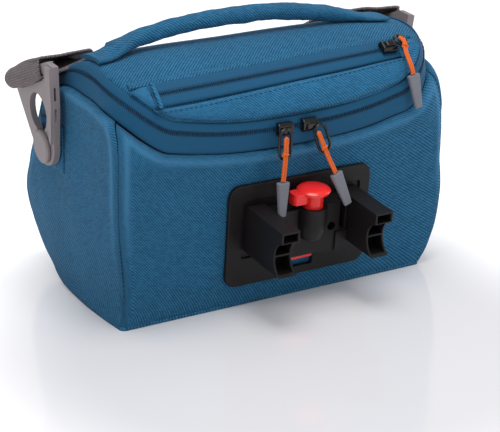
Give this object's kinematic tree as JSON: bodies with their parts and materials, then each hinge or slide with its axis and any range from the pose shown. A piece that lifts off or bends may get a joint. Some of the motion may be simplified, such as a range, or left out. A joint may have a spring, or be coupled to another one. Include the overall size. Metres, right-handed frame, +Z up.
{
  "type": "bicycle handlebar bag",
  "caption": "Boxy zipped cloth bag with a front adapter that clips to a bicycle handlebar, a carry handle and a shoulder strap.",
  "frame": {"origin": "on the flat bottom, midway along the width of the bag", "axes": "+X along the width, to the right for someone who faces the adapter; -Y out of the face that carries the adapter; +Z up"},
  "size_m": [0.3215, 0.2177, 0.2047],
  "materials": {
    "body_cloth": "blue woven cloth",
    "lid_cloth": "blue woven cloth",
    "pocket_cloth": "fine blue woven cloth",
    "handle_cloth": "blue woven cloth over padding",
    "zip_tape": "smooth dark blue tape",
    "zip_teeth": "dark blue coil",
    "black_plastic": "fine matt grain",
    "red_plastic": "glossy",
    "grey_plastic": "matt moulded",
    "webbing": "flat woven webbing",
    "black_metal": "gloss black",
    "orange_cord": "braided cord"
  },
  "bodies": {
    "bag": {"wrap_panel": "body_cloth", "side_panel_left": "body_cloth", "side_panel_right": "body_cloth", "lid_panel": "lid_cloth", "main_zip_tape_lower": "zip_tape", "main_zip_tape_upper": "zip_tape", "main_zip_coil": "zip_teeth", "pocket_panel": "pocket_cloth", "pocket_zip_tape": "zip_tape", "pocket_zip_coil": "zip_teeth", "carry_handle": "handle_cloth", "bag_plate": "black_plastic", "adapter_base": "black_plastic", "adapter_arm_left": "black_plastic", "adapter_arm_right": "black_plastic", "stud_patch_left": "body_cloth", "stud_patch_right": "body_cloth", "strap_hook_left": "grey_plastic", "strap_hook_right": "grey_plastic", "strap_stud_left": "grey_plastic", "strap_stud_right": "grey_plastic", "shoulder_strap": "webbing", "zip_slider_left": "black_metal", "zip_slider_right": "black_metal", "zip_slider_pocket": "black_metal", "zip_puller_left": "black_metal", "zip_puller_right": "black_metal", "zip_puller_pocket": "black_metal", "pull_cord_left": "orange_cord", "pull_cord_right": "orange_cord", "pull_cord_pocket": "orange_cord", "pull_tab_left": "grey_plastic", "pull_tab_right": "grey_plastic", "pull_tab_pocket": "grey_plastic"},
    "release": {"release_button": "red_plastic", "latch_bolt": "red_plastic"}
  },
  "joints": [
    {"name": "release_press", "type": "slide", "parent": "bag", "child": "release", "axis": [0, 0.1011, -0.9949], "range_m": [0, 0.004], "stiffness_N_per_m": 800}
  ]
}
